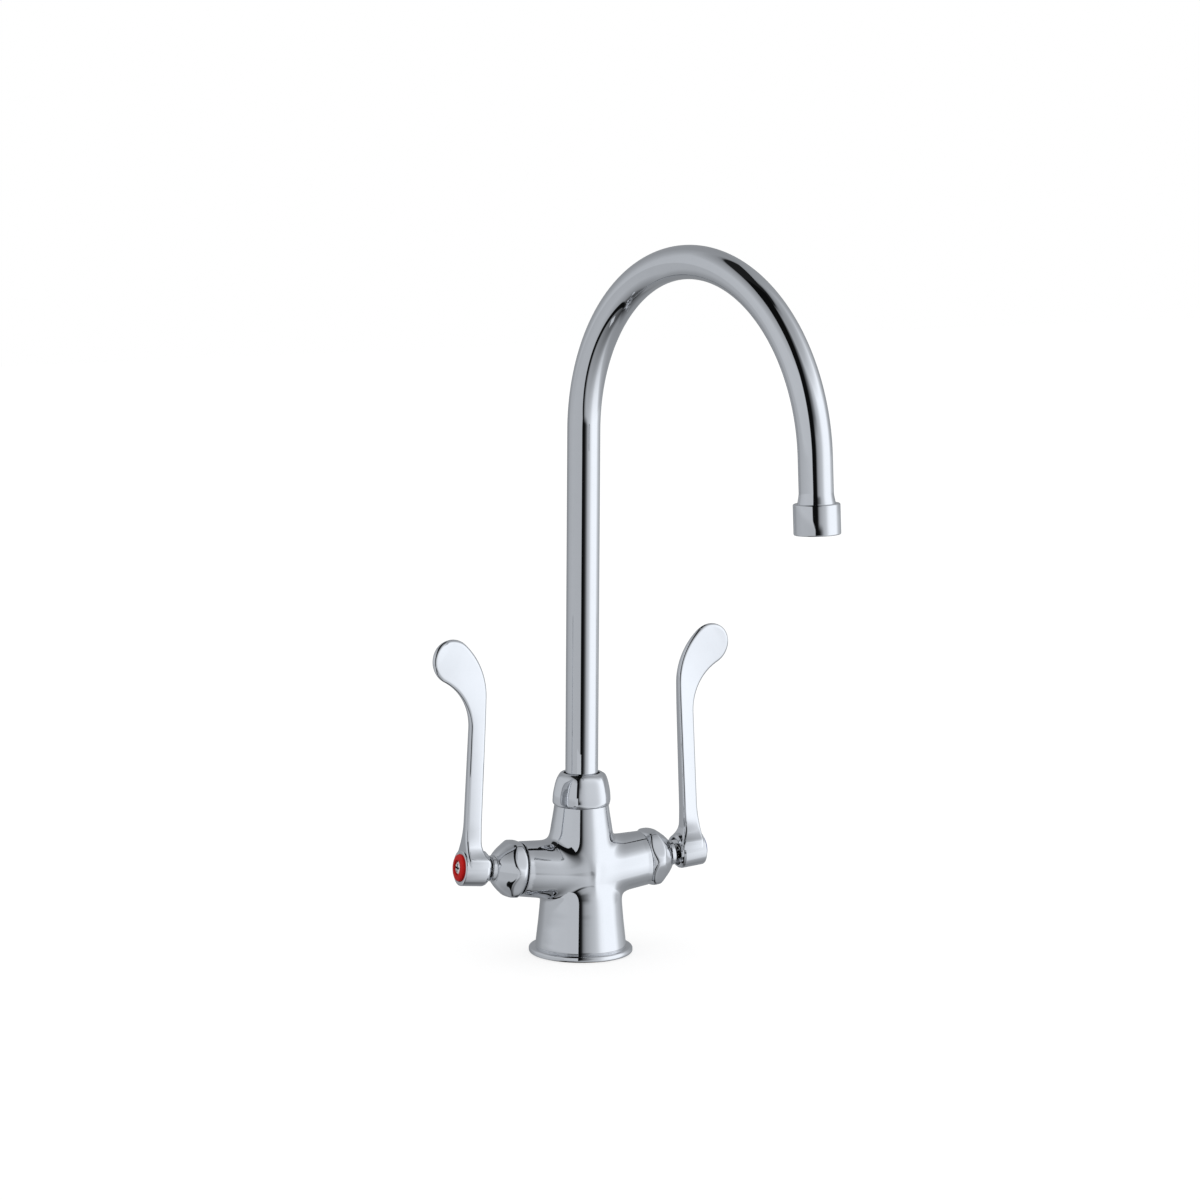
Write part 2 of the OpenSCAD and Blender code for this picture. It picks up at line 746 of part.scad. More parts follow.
module handle(side)
    color([0.80, 0.81, 0.83])
        on_arm(side)
            difference() {
                union() {
                    hub_solid();
                    blade(side);
                }
                bore(hub_recess_d, hub_in - overcut, hub_in + hub_recess_h);
                translate([-drive_size / 2, -drive_size / 2, drive_floor])
                    cube([drive_size, drive_size, drive_top - drive_floor]);
                bore(screw_d + 0.3, drive_floor, hub_out);
                bore(head_d + 0.4, head_seat, hub_out + overcut);
                bore(index_d + 0.1, hub_out - index_recess, hub_out + overcut);
            }

module screw(side)
    color([0.75, 0.76, 0.78])
        on_arm(side)
            difference() {
                union() {
                    bore(screw_d, screw_tip, head_seat + overcut);
                    translate([0, 0, head_seat])
                        rotate_extrude()
                            polygon([[0, 0], [head_d / 2, 0], [head_d / 2, head_h - 1.2],
                                     [0.45 * head_d, head_h - 0.6],
                                     [0.36 * head_d, head_h - 0.2],
                                     [0.2 * head_d, head_h], [0, head_h]]);
                }
                for (turn = [0, 90])
                    rotate([0, 0, turn])
                        translate([-cross_len / 2, -cross_w / 2, head_seat + head_h - cross_depth])
                            cube([cross_len, cross_w, 2 * cross_depth]);
            }

module index_ring(side)
    color(side < 0 ? [0.77, 0.14, 0.11] : [0.10, 0.27, 0.62])
        on_arm(side)
            translate([0, 0, hub_out])
                rotate_extrude()
                    polygon([[index_hole_d / 2, -index_recess], [index_d / 2, -index_recess],
                             [index_d / 2, 0.5 * index_out],
                             [index_d / 2 - 0.8, 0.78 * index_out],
                             [index_hole_d / 2, index_out]]);

body_casting();
base_gasket();
mounting_shank();
deck_washer();
backing_washer();
lock_nut();
spout_nut();
lower_glide_ring();
upper_glide_ring();
spout_ferrule();
spout_o_rings();
spout_tube();
outlet_adapter();
outlet_shell();
outlet_gasket();
flow_insert();
seat(HOT);  // hot_seat
fixed_disc(HOT);  // hot_fixed_disc
moving_disc(HOT);  // hot_moving_disc
cartridge(HOT);  // hot_cartridge
cartridge_ring(HOT);  // hot_cartridge_ring
stem(HOT);  // hot_stem
stem_ring(HOT);  // hot_stem_ring
clip(HOT);  // hot_clip
bonnet(HOT);  // hot_bonnet
handle(HOT);  // hot_handle
screw(HOT);  // hot_screw
index_ring(HOT);  // hot_index_ring
seat(COLD);  // cold_seat
fixed_disc(COLD);  // cold_fixed_disc
moving_disc(COLD);  // cold_moving_disc
cartridge(COLD);  // cold_cartridge
cartridge_ring(COLD);  // cold_cartridge_ring
stem(COLD);  // cold_stem
stem_ring(COLD);  // cold_stem_ring
clip(COLD);  // cold_clip
bonnet(COLD);  // cold_bonnet
handle(COLD);  // cold_handle
screw(COLD);  // cold_screw
index_ring(COLD);  // cold_index_ring
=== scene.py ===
"""Looks of the gooseneck faucet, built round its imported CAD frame."""
import json
import math

import bmesh
import bpy
import numpy as np
from mathutils import Matrix, Vector


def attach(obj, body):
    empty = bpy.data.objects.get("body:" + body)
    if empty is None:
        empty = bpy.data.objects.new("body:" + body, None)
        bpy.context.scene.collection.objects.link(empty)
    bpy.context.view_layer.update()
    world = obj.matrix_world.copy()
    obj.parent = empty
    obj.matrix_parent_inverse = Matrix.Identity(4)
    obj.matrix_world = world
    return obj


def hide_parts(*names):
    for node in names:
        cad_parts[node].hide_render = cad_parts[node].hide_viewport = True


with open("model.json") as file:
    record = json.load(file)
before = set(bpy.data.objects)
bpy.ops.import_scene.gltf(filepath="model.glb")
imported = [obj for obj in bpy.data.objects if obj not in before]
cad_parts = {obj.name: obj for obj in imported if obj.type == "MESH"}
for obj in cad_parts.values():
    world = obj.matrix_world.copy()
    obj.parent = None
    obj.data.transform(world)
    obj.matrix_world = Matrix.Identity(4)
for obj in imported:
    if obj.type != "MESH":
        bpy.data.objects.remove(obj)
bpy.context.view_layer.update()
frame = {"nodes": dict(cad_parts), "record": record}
MM = 0.001
HOT, COLD = -1, 1
SIDES = ((HOT, "hot"), (COLD, "cold"))

# Sizes in millimetres, as in the CAD source
FLANGE_R, FLANGE_H = 29.7, 3.6
BODY_H, SPIGOT_TOP, SPIGOT_R = 86.0, 94, 12.5
SOCKET_R, SOCKET_FLOOR_Z = 10.4, 66
ARM_Z, ARM_TILT, ARM_REACH = 47.6, math.radians(5.6), 38.5
TUBE_R, BEND_R, RISER_TOP = 9.3, 101.6, 300.5
BEND_ANGLE, DROP_LEN, OUTLET_H = math.radians(176.3), 41.0, 16.6
SWING = math.radians(13.2 - 90)
BONNET_Z, BONNET_END = 38.9, 57.2
HUB_IN, HUB_OUT, HUB_R = 59.5, 75.2, 10.2

# Camera
# The photograph's viewpoint in metres, solved from the spout's arch and the round rims
VIEW_TARGET, VIEW_DISTANCE = Vector((0.0089, -0.0040, 0.2036)), 2.5755
VIEW_TURN, VIEW_TIP, VIEW_ROLL = (math.radians(angle) for angle in (23.952, 9.305, -0.387))
SENSOR_WIDTH, LENS = 36.0, 136.71


def make_camera():
    ahead = Vector((math.sin(VIEW_TURN) * math.cos(VIEW_TIP),
                    math.cos(VIEW_TURN) * math.cos(VIEW_TIP), -math.sin(VIEW_TIP)))
    level = Vector((math.cos(VIEW_TURN), -math.sin(VIEW_TURN), 0))
    upright = level.cross(ahead)
    right = math.cos(VIEW_ROLL) * level - math.sin(VIEW_ROLL) * upright
    up = math.sin(VIEW_ROLL) * level + math.cos(VIEW_ROLL) * upright
    camera = bpy.data.objects.new("camera", bpy.data.cameras.new("camera"))
    bpy.context.collection.objects.link(camera)
    camera.data.sensor_fit = "HORIZONTAL"
    camera.data.sensor_width = SENSOR_WIDTH
    camera.data.lens = LENS
    camera.data.clip_end = 50
    axes = Matrix((right, up, -ahead)).transposed().to_4x4()
    camera.matrix_world = Matrix.Translation(VIEW_TARGET - VIEW_DISTANCE * ahead) @ axes
    bpy.context.scene.camera = camera


make_camera()


# Materials
def node_material(name):
    material = bpy.data.materials.new(name)
    material.use_nodes = True
    tree = material.node_tree
    return material, tree, tree.nodes["Principled BSDF"]


def add(tree, kind, **values):
    """A new node, with its inputs and settings given by name."""
    node = tree.nodes.new(kind)
    for key, value in values.items():
        if key in node.inputs:
            node.inputs[key].default_value = value
        else:
            setattr(node, key, value)
    return node


def pattern(tree, kind, **values):
    """A texture that keeps its place on the object."""
    place = add(tree, "ShaderNodeTexCoord")
    texture = add(tree, kind, **values)
    tree.links.new(place.outputs["Object"], texture.inputs["Vector"])
    return texture.outputs["Fac"]


def vary_roughness(tree, shader, source, low, high, start=0.0, end=1.0):
    """Roughness from low to high while the source goes from start to end."""
    level = add(tree, "ShaderNodeMapRange",
                **{"From Min": start, "From Max": end, "To Min": low, "To Max": high})
    tree.links.new(source, level.inputs["Value"])
    tree.links.new(level.outputs["Result"], shader.inputs["Roughness"])


def vary_colour(tree, shader, source, colour, first, second):
    """The colour times first where the source is 0, and times second where it is 1."""
    tint = add(tree, "ShaderNodeMix", data_type="RGBA")
    for key, gain in (("A", first), ("B", second)):
        tint.inputs[key].default_value = (*(min(1, channel * gain) for channel in colour), 1)
    tree.links.new(source, tint.inputs["Factor"])
    tree.links.new(tint.outputs["Result"], shader.inputs["Base Color"])


def emboss(tree, shader, source, strength, depth):
    bump = add(tree, "ShaderNodeBump", Strength=strength, Distance=depth)
    tree.links.new(source, bump.inputs["Height"])
    tree.links.new(bump.outputs["Normal"], shader.inputs["Normal"])


def chrome(name, colour=(0.80, 0.81, 0.83), rough=0.035, spread=0.03, ripple=0.004, scale=55):
    """Bright plate: fine wipe marks in the roughness and the faint ripple of a polished casting."""
    material, tree, shader = node_material(name)
    shader.inputs["Metallic"].default_value = 1
    wipe = pattern(tree, "ShaderNodeTexNoise", Scale=scale * 3.0, Detail=4.0, Roughness=0.6)
    vary_roughness(tree, shader, wipe, rough, rough + spread, 0.3, 0.8)
    vary_colour(tree, shader, wipe, colour, 1, 0.96)
    wave = pattern(tree, "ShaderNodeTexNoise", Scale=scale, Detail=1.0)
    emboss(tree, shader, wave, ripple, 0.01)
    return material


def turned(name, colour, metallic, rough, strength=0.08, spread=0.12):
    """Machined stock: fine turning lines and a mottled roughness."""
    material, tree, shader = node_material(name)
    shader.inputs["Metallic"].default_value = metallic
    mottle = pattern(tree, "ShaderNodeTexNoise", Scale=180.0, Detail=5.0, Roughness=0.6)
    vary_roughness(tree, shader, mottle, rough, rough + spread)
    vary_colour(tree, shader, mottle, colour, 0.88, 1.08)
    lines = pattern(tree, "ShaderNodeTexWave", Scale=2500.0, Distortion=0.4, bands_direction="Z")
    emboss(tree, shader, lines, strength, 0.0002)
    return material


def moulded(name, colour, rough, strength=0.06, coat=0.0, shine=0.5):
    """Moulded plastic, rubber or ceramic: fine grain, and a clear gloss where it has one."""
    material, tree, shader = node_material(name)
    grain = pattern(tree, "ShaderNodeTexNoise", Scale=900.0, Detail=3.0)
    vary_colour(tree, shader, grain, colour, 0.93, 1.05)
    shader.inputs["Roughness"].default_value = rough
    shader.inputs["Specular IOR Level"].default_value = shine
    shader.inputs["Coat Weight"].default_value = coat
    shader.inputs["Coat Roughness"].default_value = 0.06
    emboss(tree, shader, grain, strength, 0.0003)
    return material


CAST = chrome("chrome_cast", rough=0.03, ripple=0.003, scale=45)
DRAWN = chrome("chrome_drawn", rough=0.025, ripple=0.001, scale=60)
CAST_HANDLE = chrome("chrome_handle", (0.82, 0.83, 0.85), rough=0.04, ripple=0.003, scale=40)
BRIGHT = chrome("stem_plate", (0.83, 0.82, 0.79), rough=0.07, spread=0.08, ripple=0.001)
BRASS = turned("brass_turned", (0.62, 0.43, 0.17), 1, 0.26)
STEEL = turned("steel_plain", (0.52, 0.53, 0.54), 1, 0.28)
SCREW = turned("steel_screw", (0.84, 0.84, 0.85), 0.3, 0.30, strength=0.02, spread=0.06)
RUBBER = moulded("rubber_black", (0.02, 0.02, 0.021), 0.62, strength=0.12)
WHITE = moulded("plastic_white", (0.80, 0.80, 0.77), 0.42)
GREY = moulded("plastic_grey", (0.55, 0.56, 0.57), 0.34)
CERAMIC = moulded("ceramic_white", (0.86, 0.84, 0.78), 0.18, strength=0.02, coat=0.4)
RED = moulded("plastic_red", (0.56, 0.009, 0.007), 0.42, strength=0.03, shine=0.12)
BLUE = moulded("plastic_blue", (0.006, 0.045, 0.33), 0.42, strength=0.03, shine=0.12)

BY_SLOT = {
    "body_chrome": CAST, "spout_nut_chrome": CAST, "tube_chrome": DRAWN, "outlet_chrome": CAST,
    "bonnet_chrome": CAST, "handle_chrome": CAST_HANDLE, "gasket_rubber": RUBBER,
    "deck_washer_rubber": RUBBER, "seal_rubber": RUBBER, "shank_brass": BRASS,
    "lock_nut_brass": BRASS, "ferrule_brass": BRASS, "adapter_brass": BRASS,
    "cartridge_brass": BRASS, "stem_brass": BRIGHT, "washer_steel": STEEL, "clip_steel": STEEL,
    "screw_steel": SCREW, "glide_plastic": WHITE, "insert_plastic": GREY,
    "disc_ceramic": CERAMIC, "index_red": RED, "index_blue": BLUE}
for part in frame["record"]["subparts"]:
    for slot in frame["nodes"][part["node"]].material_slots:
        slot.material = BY_SLOT[part["material_slot"]]


# Mesh making
def piece(name, verts, faces, body, nodes, slot, normals=None, sharp=50, flip=False):
    """A mesh in millimetres as a piece of the frame; without normals, sharp is its edge angle."""
    mesh = bpy.data.meshes.new(name)
    mesh.from_pydata((np.asarray(verts, float) * MM).tolist(), [], faces)
    if flip:
        mesh.flip_normals()
    mesh.polygons.foreach_set("use_smooth", [True] * len(mesh.polygons))
    if normals is None:
        work = bmesh.new()
        work.from_mesh(mesh)
        bmesh.ops.remove_doubles(work, verts=work.verts, dist=1e-7)
        bmesh.ops.recalc_face_normals(work, faces=work.faces)
        work.to_mesh(mesh)
        work.free()
        mesh.set_sharp_from_angle(angle=math.radians(sharp))
    else:
        mesh.normals_split_custom_set_from_vertices(normals)
    mesh.update()
    obj = bpy.data.objects.new(name, mesh)
    bpy.context.collection.objects.link(obj)
    mesh.materials.append(BY_SLOT[slot])
    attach(obj, body)
    if nodes:
        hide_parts(*nodes)


def rounded(points, steps=6):
    """A polyline of (radius, height, rounding) corners with each corner rounded."""
    out = []
    for i, (r, z, rounding) in enumerate(points):
        corner = np.array((r, z), float)
        if rounding == 0 or i in (0, len(points) - 1):
            out.append(corner)
            continue
        back, on = (np.array(points[k][:2]) - corner for k in (i - 1, i + 1))
        back_len, on_len = np.linalg.norm(back), np.linalg.norm(on)
        back, on = back / back_len, on / on_len
        half = 0.5 * math.acos(float(np.clip(back @ on, -1, 1)))
        cut = min(rounding / math.tan(half), 0.49 * back_len, 0.49 * on_len)
        rounding = cut * math.tan(half)
        middle = (back + on) / np.linalg.norm(back + on)
        centre = corner + middle * rounding / math.sin(half)
        first, last = corner + back * cut - centre, corner + on * cut - centre
        for k in range(steps + 1):
            way = first * (1 - k / steps) + last * k / steps
            out.append(centre + way / np.linalg.norm(way) * rounding)
    return out


def revolve(profile, count):
    angles = np.arange(count) * 2 * math.pi / count
    verts = np.array([[r * math.cos(a), r * math.sin(a), z] for r, z in profile for a in angles])
    faces = [[i * count + j, i * count + (j + 1) % count,
              (i + 1) * count + (j + 1) % count, (i + 1) * count + j]
             for i in range(len(profile) - 1) for j in range(count)]
    return verts, faces


def sheet(surface, us, vs, closed=True):
    """Grid over a surface(u, v), with normals from its slopes. u is closed round if asked."""
    u, v = (a.ravel() for a in np.meshgrid(us, vs, indexing="ij"))
    nudge = 1e-4
    verts = surface(u, v)
    across = surface(u + nudge, v) - surface(u - nudge, v)
    along = surface(u, v + nudge) - surface(u, v - nudge)
    normals = np.cross(across, along)
    normals = normals / np.maximum(np.linalg.norm(normals, axis=1, keepdims=True), 1e-12)
    lines, count = len(us), len(vs)
    faces = []
    for i in range(lines if closed else lines - 1):
        here, there = i * count, (i + 1) % lines * count
        faces += [[here + j, there + j, there + j + 1, here + j + 1] for j in range(count - 1)]
    return verts, faces, normals


def stations(*stretches):
    """Places along (start, end, count) stretches in a row, with each joint counted once."""
    parts = [np.linspace(*stretch)[:-1] for stretch in stretches[:-1]]
    return np.concatenate(parts + [np.linspace(*stretches[-1])])


class Place:
    """A local frame, given by its origin and its x, y and z directions."""

    def __init__(self, origin, x, y, z):
        self.origin = np.array(origin, float)
        self.turn = np.array([x, y, z], float)

    def __call__(self, points):
        return np.asarray(points) @ self.turn + self.origin


BASE = Place((0, 0, 0), (1, 0, 0), (0, 1, 0), (0, 0, 1))
ARM = {side: Place((0, 0, ARM_Z), (-side * math.sin(ARM_TILT), 0, math.cos(ARM_TILT)), (0, -1, 0),
                   (side * math.cos(ARM_TILT), 0, math.sin(ARM_TILT))) for side in (HOT, COLD)}
OUT = np.array((math.cos(SWING), math.sin(SWING), 0))
UP = np.array((0, 0, 1.0))
tip_turn = math.pi - BEND_ANGLE
bend_end = BEND_R * (1 + math.cos(tip_turn)) * OUT + (RISER_TOP + BEND_R * math.sin(tip_turn)) * UP
tip_down = math.sin(tip_turn) * OUT - math.cos(tip_turn) * UP
tip_out = math.cos(tip_turn) * OUT + math.sin(tip_turn) * UP
TIP = Place(bend_end, tip_out, np.cross(tip_down, tip_out), tip_down)


def turned_piece(name, place, profile, body, nodes, slot, sharp=50, count=144):
    verts, faces = revolve(profile, count)
    piece(name, place(verts), faces, body, nodes, slot, sharp=sharp)


def smooth_curve(table):
    """Cubic through a table of (x, y), with slopes that don't overshoot."""
    x, y = np.array(table, float).T
    step, rise = np.diff(x), np.diff(y) / np.diff(x)
    slope = np.zeros_like(y)
    for i in range(1, len(x) - 1):
        if rise[i - 1] * rise[i] > 0:
            before, after = 2 * step[i] + step[i - 1], step[i] + 2 * step[i - 1]
            slope[i] = (before + after) / (before / rise[i - 1] + after / rise[i])
    slope[0], slope[-1] = rise[0], rise[-1]

    def curve(q):
        i = np.clip(np.searchsorted(x, q) - 1, 0, len(x) - 2)
        t = np.clip((q - x[i]) / step[i], 0, 1)
        return ((1 + 2 * t) * (1 - t) ** 2 * y[i] + t * (1 - t) ** 2 * step[i] * slope[i]
                + t * t * (3 - 2 * t) * y[i + 1] - t * t * (1 - t) * step[i] * slope[i + 1])
    return curve


# Body casting
# Height and radius of the column, without its arms
COLUMN = ((-8, 26.2), (3.6, 26.0), (8.7, 25.5), (13.4, 24.98), (18, 24.45), (22.8, 24.0), (30, 23.3),
          (34, 22.5), (38, 20.9), (43, 19.0), (48, 18.3), (54, 18.5), (60, 18.45), (66, 18.15),
          (70, 17.82), (74, 17.3), (77.3, 16.75), (80.8, 16.2), (83.5, 15.8), (86, 15.5), (95, 15.4))
# An arm's radius at its mouth, and what it gains for each mm towards the column
ARM_R, ARM_DRAFT = 15.7, 0.053
# What the arms gain in depth from front to back, how far behind the mouth that starts, and over what
ARM_DEEPER, DEEPER_FROM, DEEPER_OVER = 2.6, 3, 22
# Length near the body's axis over which an arm's section stops growing
MEETING = 6
# Reach of the fillets between the two arms, and between arms and column
ARM_FILLET, COLUMN_FILLET = 4.0, 8.5
# Where the blended shell gives way to turned ends: its lowest height, how far short of the rim and
# the mouths it ends, and how far the turned ends overlap it
FOOT_Z, END_CUT, LAP = 4.4, 0.7, 0.05
# Corners and step of the grid that the shell's points come from
NET_BOX, NET_STEP = ((-43, -30, 0), (43, 30, 90)), 1.15

column_radius = smooth_curve(COLUMN)


def column_at(z):
    return float(column_radius(np.array([z]))[0])


def arm_radius(s):
    return ARM_R + ARM_DRAFT * (ARM_REACH - s)


def arm_depth(s):
    """The arms are deeper from front to back than they are high, ever more towards the column."""
    inwards = np.maximum(ARM_REACH - DEEPER_FROM - s, 0)
    return arm_radius(s) + ARM_DEEPER * (1 - np.exp(-inwards / DEEPER_OVER))


def blend(a, b, reach):
    """The smaller of two distances, with a fillet where they differ by less than reach."""
    near = np.maximum(reach - np.abs(a - b), 0) / reach
    return np.minimum(a, b) - near ** 3 * reach / 6


def casting_field(points):
    """About how far points are outside the column and arms, in mm."""
    z, nudge = points[:, 2], 0.05
    slope = (column_radius(z + nudge) - column_radius(z - nudge)) / (2 * nudge)
    column = (np.hypot(points[:, 0], points[:, 1]) - column_radius(z)) / np.sqrt(1 + slope ** 2)
    arms = []
    for side in (HOT, COLD):
        high, wide, s = ((points - ARM[side].origin) @ ARM[side].turn.T).T
        along = np.maximum(s, 0) + MEETING * np.exp(-np.maximum(s, 0) / MEETING)
        radius = arm_radius(along)
        off = np.hypot(high, wide * radius / arm_depth(along)) - radius
        arms.append(np.where(s < 0, np.hypot(np.maximum(off, 0), s), off))
    return blend(column, blend(*arms, ARM_FILLET), COLUMN_FILLET)


def slopes(field, points, nudge=1e-3):
    return np.stack([(field(points + nudge * axis) - field(points - nudge * axis)) / (2 * nudge)
                     for axis in np.eye(3)], 1)


def settle(field, points, rounds=4):
    """Points moved onto the zero surface of a field."""
    for _ in range(rounds):
        slope = slopes(field, points)
        points = points - (field(points) / (slope * slope).sum(1))[:, None] * slope
    return points


def surface_net(field, low, high, step):
    """Quads over the zero surface of a field, one point in each grid cell that it crosses."""
    axes = [np.arange(a, b + step, step) for a, b in zip(low, high)]
    grid = np.stack(np.meshgrid(*axes, indexing="ij"), -1)
    values = field(grid.reshape(-1, 3)).reshape(grid.shape[:3])
    cells = tuple(n - 1 for n in values.shape)
    total, count = np.zeros(cells + (3,)), np.zeros(cells)
    crossings = []
    for axis in range(3):
        start, end = [slice(None)] * 3, [slice(None)] * 3
        start[axis], end[axis] = slice(0, -1), slice(1, None)
        at_start, at_end = values[tuple(start)], values[tuple(end)]
        crossed = np.argwhere((at_start < 0) != (at_end < 0))
        a, b = at_start[tuple(crossed.T)], at_end[tuple(crossed.T)]
        point = grid[tuple(crossed.T)].copy()
        point[:, axis] += step * a / (a - b)
        others = [k for k in range(3) if k != axis]
        around = []
        for shift in ((0, 0), (-1, 0), (-1, -1), (0, -1)):
            cell = crossed.copy()
            cell[:, others] += shift
            fits = ((cell >= 0) & (cell < np.array(cells))).all(1)
            np.add.at(total, tuple(cell[fits].T), point[fits])
            np.add.at(count, tuple(cell[fits].T), 1)
            around.append((cell, fits))
        crossings.append((around, (a >= 0) != (axis == 1)))
    used = count > 0
    index = np.full(cells, -1)
    index[used] = np.arange(used.sum())
    verts = total[used] / count[used][:, None]
    faces = []
    for around, turned_over in crossings:
        whole = np.all([fits for _, fits in around], 0)
        quads = np.stack([index[tuple(cell[whole].T)] for cell, _ in around], 1)
        over = turned_over[whole]
        quads[over] = quads[over][:, ::-1]
        faces.append(quads)
    return verts, np.concatenate(faces)


def even_out(field, verts, faces, rounds=8):
    """Points moved halfway to the mean of their neighbours and back onto the surface, in rounds."""
    sides = [faces[:, [k, (k + 1) % 4]] for k in range(4)]
    edges = np.unique(np.sort(np.concatenate(sides), 1), axis=0)
    for _ in range(rounds):
        total, count = np.zeros_like(verts), np.zeros(len(verts))
        for a, b in ((0, 1), (1, 0)):
            np.add.at(total, edges[:, a], verts[edges[:, b]])
            np.add.at(count, edges[:, a], 1)
        verts = settle(field, 0.5 * verts + 0.5 * total / count[:, None], 2)
    return settle(field, verts)


def make_body_shell():
    verts, faces = surface_net(casting_field, *NET_BOX, NET_STEP)
    verts = even_out(casting_field, verts, faces)
    work = bmesh.new()
    points = [work.verts.new(v) for v in verts]
    for face in faces:
        work.faces.new([points[i] for i in face])
    cuts = [((0, 0, FOOT_Z), (0, 0, -1)), ((0, 0, BODY_H - END_CUT), (0, 0, 1))]
    cuts += [(tuple(ARM[side]((0, 0, ARM_REACH - END_CUT))), tuple(ARM[side].turn[2]))
             for side in (HOT, COLD)]
    for place, way in cuts:
        everything = work.verts[:] + work.edges[:] + work.faces[:]
        bmesh.ops.bisect_plane(work, geom=everything, dist=1e-4, plane_co=place, plane_no=way,
                               clear_outer=True)
    work.verts.ensure_lookup_table()
    index = {v: i for i, v in enumerate(work.verts)}
    verts = np.array([v.co for v in work.verts])
    faces = [[index[v] for v in face.verts] for face in work.faces]
    work.free()
    normals = slopes(casting_field, verts)
    normals /= np.linalg.norm(normals, axis=1, keepdims=True)
    piece("body_shell", verts, faces, "body", ["body_casting"], "body_chrome", normals=normals)


def make_body_foot():
    """The flange, with the gasket's groove, the shank's hole and the cavity under it."""
    gasket_out, gasket_in, gasket_h = 26.9, 20, 1.5
    hole_r, hole_top, cavity_r, cavity_roof = 15.6, 12, 14, 22
    top, column_foot, axis = FOOT_Z + LAP, 25.62, 0.01
    profile = rounded([
        (column_at(top), top, 0), (column_foot, FLANGE_H, 0.35), (FLANGE_R, FLANGE_H, 1.5),
        (FLANGE_R, 0, 1.2), (gasket_out, 0, 0.2), (gasket_out, gasket_h, 0.2),
        (gasket_in, gasket_h, 0.2), (gasket_in, 0, 0.3), (hole_r, 0, 0.4), (hole_r, hole_top, 0),
        (cavity_r, hole_top, 0.2), (cavity_r, cavity_roof, 0.5), (axis, cavity_roof, 0)], 7)
    turned_piece("body_foot", BASE, profile, "body", [], "body_chrome", count=192)


def make_body_rim():
    """The neck's top, with the threaded spigot and the spout's socket."""
    start = BODY_H - END_CUT - LAP
    profile = rounded([
        (column_at(start), start, 0), (column_at(BODY_H), BODY_H, 0.55),
        (SPIGOT_R, BODY_H, 0.2), (SPIGOT_R, SPIGOT_TOP, 0.5), (SOCKET_R, SPIGOT_TOP, 0.3),
        (SOCKET_R, SOCKET_FLOOR_Z, 0)])
    turned_piece("body_rim", BASE, profile, "body", [], "body_chrome")


def make_arm_mouth(side, label):
    start, thread_r, thread_end = ARM_REACH - END_CUT - LAP, 12.5, 30
    profile = rounded([(arm_radius(start), start, 0), (ARM_R, ARM_REACH, 0.72),
                       (thread_r, ARM_REACH, 0.3), (thread_r, thread_end, 0)])
    turned_piece(label + "_arm_mouth", ARM[side], profile, "body", [], "body_chrome")


# Spout nut and bonnets
# Each is a rounded hexagon cut back by a round limit: tables of (height, radius) over the corners
# and of the limit, the angle of its corners, and how sharp they are
NUT_CORNERS = ((86, 18.55), (88, 18.5), (92, 18.25), (96.5, 17.4), (100, 16.4), (102.5, 15.25),
               (104.4, 14))
NUT_LIMIT = ((86.2, 16.0), (87.2, 16.9), (88.2, 17.7), (90, 18.6), (98, 18.4), (101, 16.2),
             (103, 13.9), (104.3, 11.7))
NUT_TURN, NUT_SHARPNESS = -2, 11
BONNET_CORNERS = ((38.9, 17.95), (42, 18.05), (47, 17.95), (54.6, 17.8))
BONNET_LIMIT = ((38.9, 14.7), (39.8, 15.7), (41, 16.9), (42.4, 18.1), (43.4, 18.3), (44.5, 17.75),
                (46, 16.55), (47.25, 15.5), (49, 14.05), (50.5, 12.8), (52, 11.4), (53.3, 10.0),
                (54.5, 8.5))
BONNET_TURN, BONNET_SHARPNESS = 30, 13
# How sharp the edge is where the limit cuts the hexagon
LIMIT_SHARPNESS = 50


def hexagon(angle, corner, sharpness, limit):
    """Radius of a rounded hexagon, cut back to the limit where that is smaller."""
    flat = corner * math.cos(math.radians(30))
    total = 0
    for k in range(6):
        lean = np.maximum(np.cos(angle - math.radians(30 + 60 * k)), 1e-9)
        total = total + (lean / flat) ** sharpness
    total = total ** (LIMIT_SHARPNESS / sharpness) + (1 / limit) ** LIMIT_SHARPNESS
    return total ** (-1 / LIMIT_SHARPNESS)


def hex_angles(each=11):
    """Angles round a hexagon, closest together at its corners."""
    half = math.radians(30) * (np.arange(each) / each) ** 1.5
    sector = np.concatenate([half, math.radians(60) - half[:0:-1], [math.radians(30)]])
    sector = np.unique(np.round(sector, 9))
    return np.concatenate([sector + math.radians(60 * k) for k in range(6)])


def crown(name, place, corners, limits, turn, sharpness, rows, nodes, slot, flip=False):
    """The visible faces of a nut, between its two turned ends."""
    corner, limit, turn = smooth_curve(corners), smooth_curve(limits), math.radians(turn)

    def surface(u, v):
        r = hexagon(u, corner(v), sharpness, limit(v))
        return place(np.stack([r * np.cos(u + turn), r * np.sin(u + turn), v], 1))
    verts, faces, normals = sheet(surface, hex_angles(), rows)
    if flip:
        normals = -normals
    piece(name, verts, faces, "body", nodes, slot, normals=normals, flip=flip)


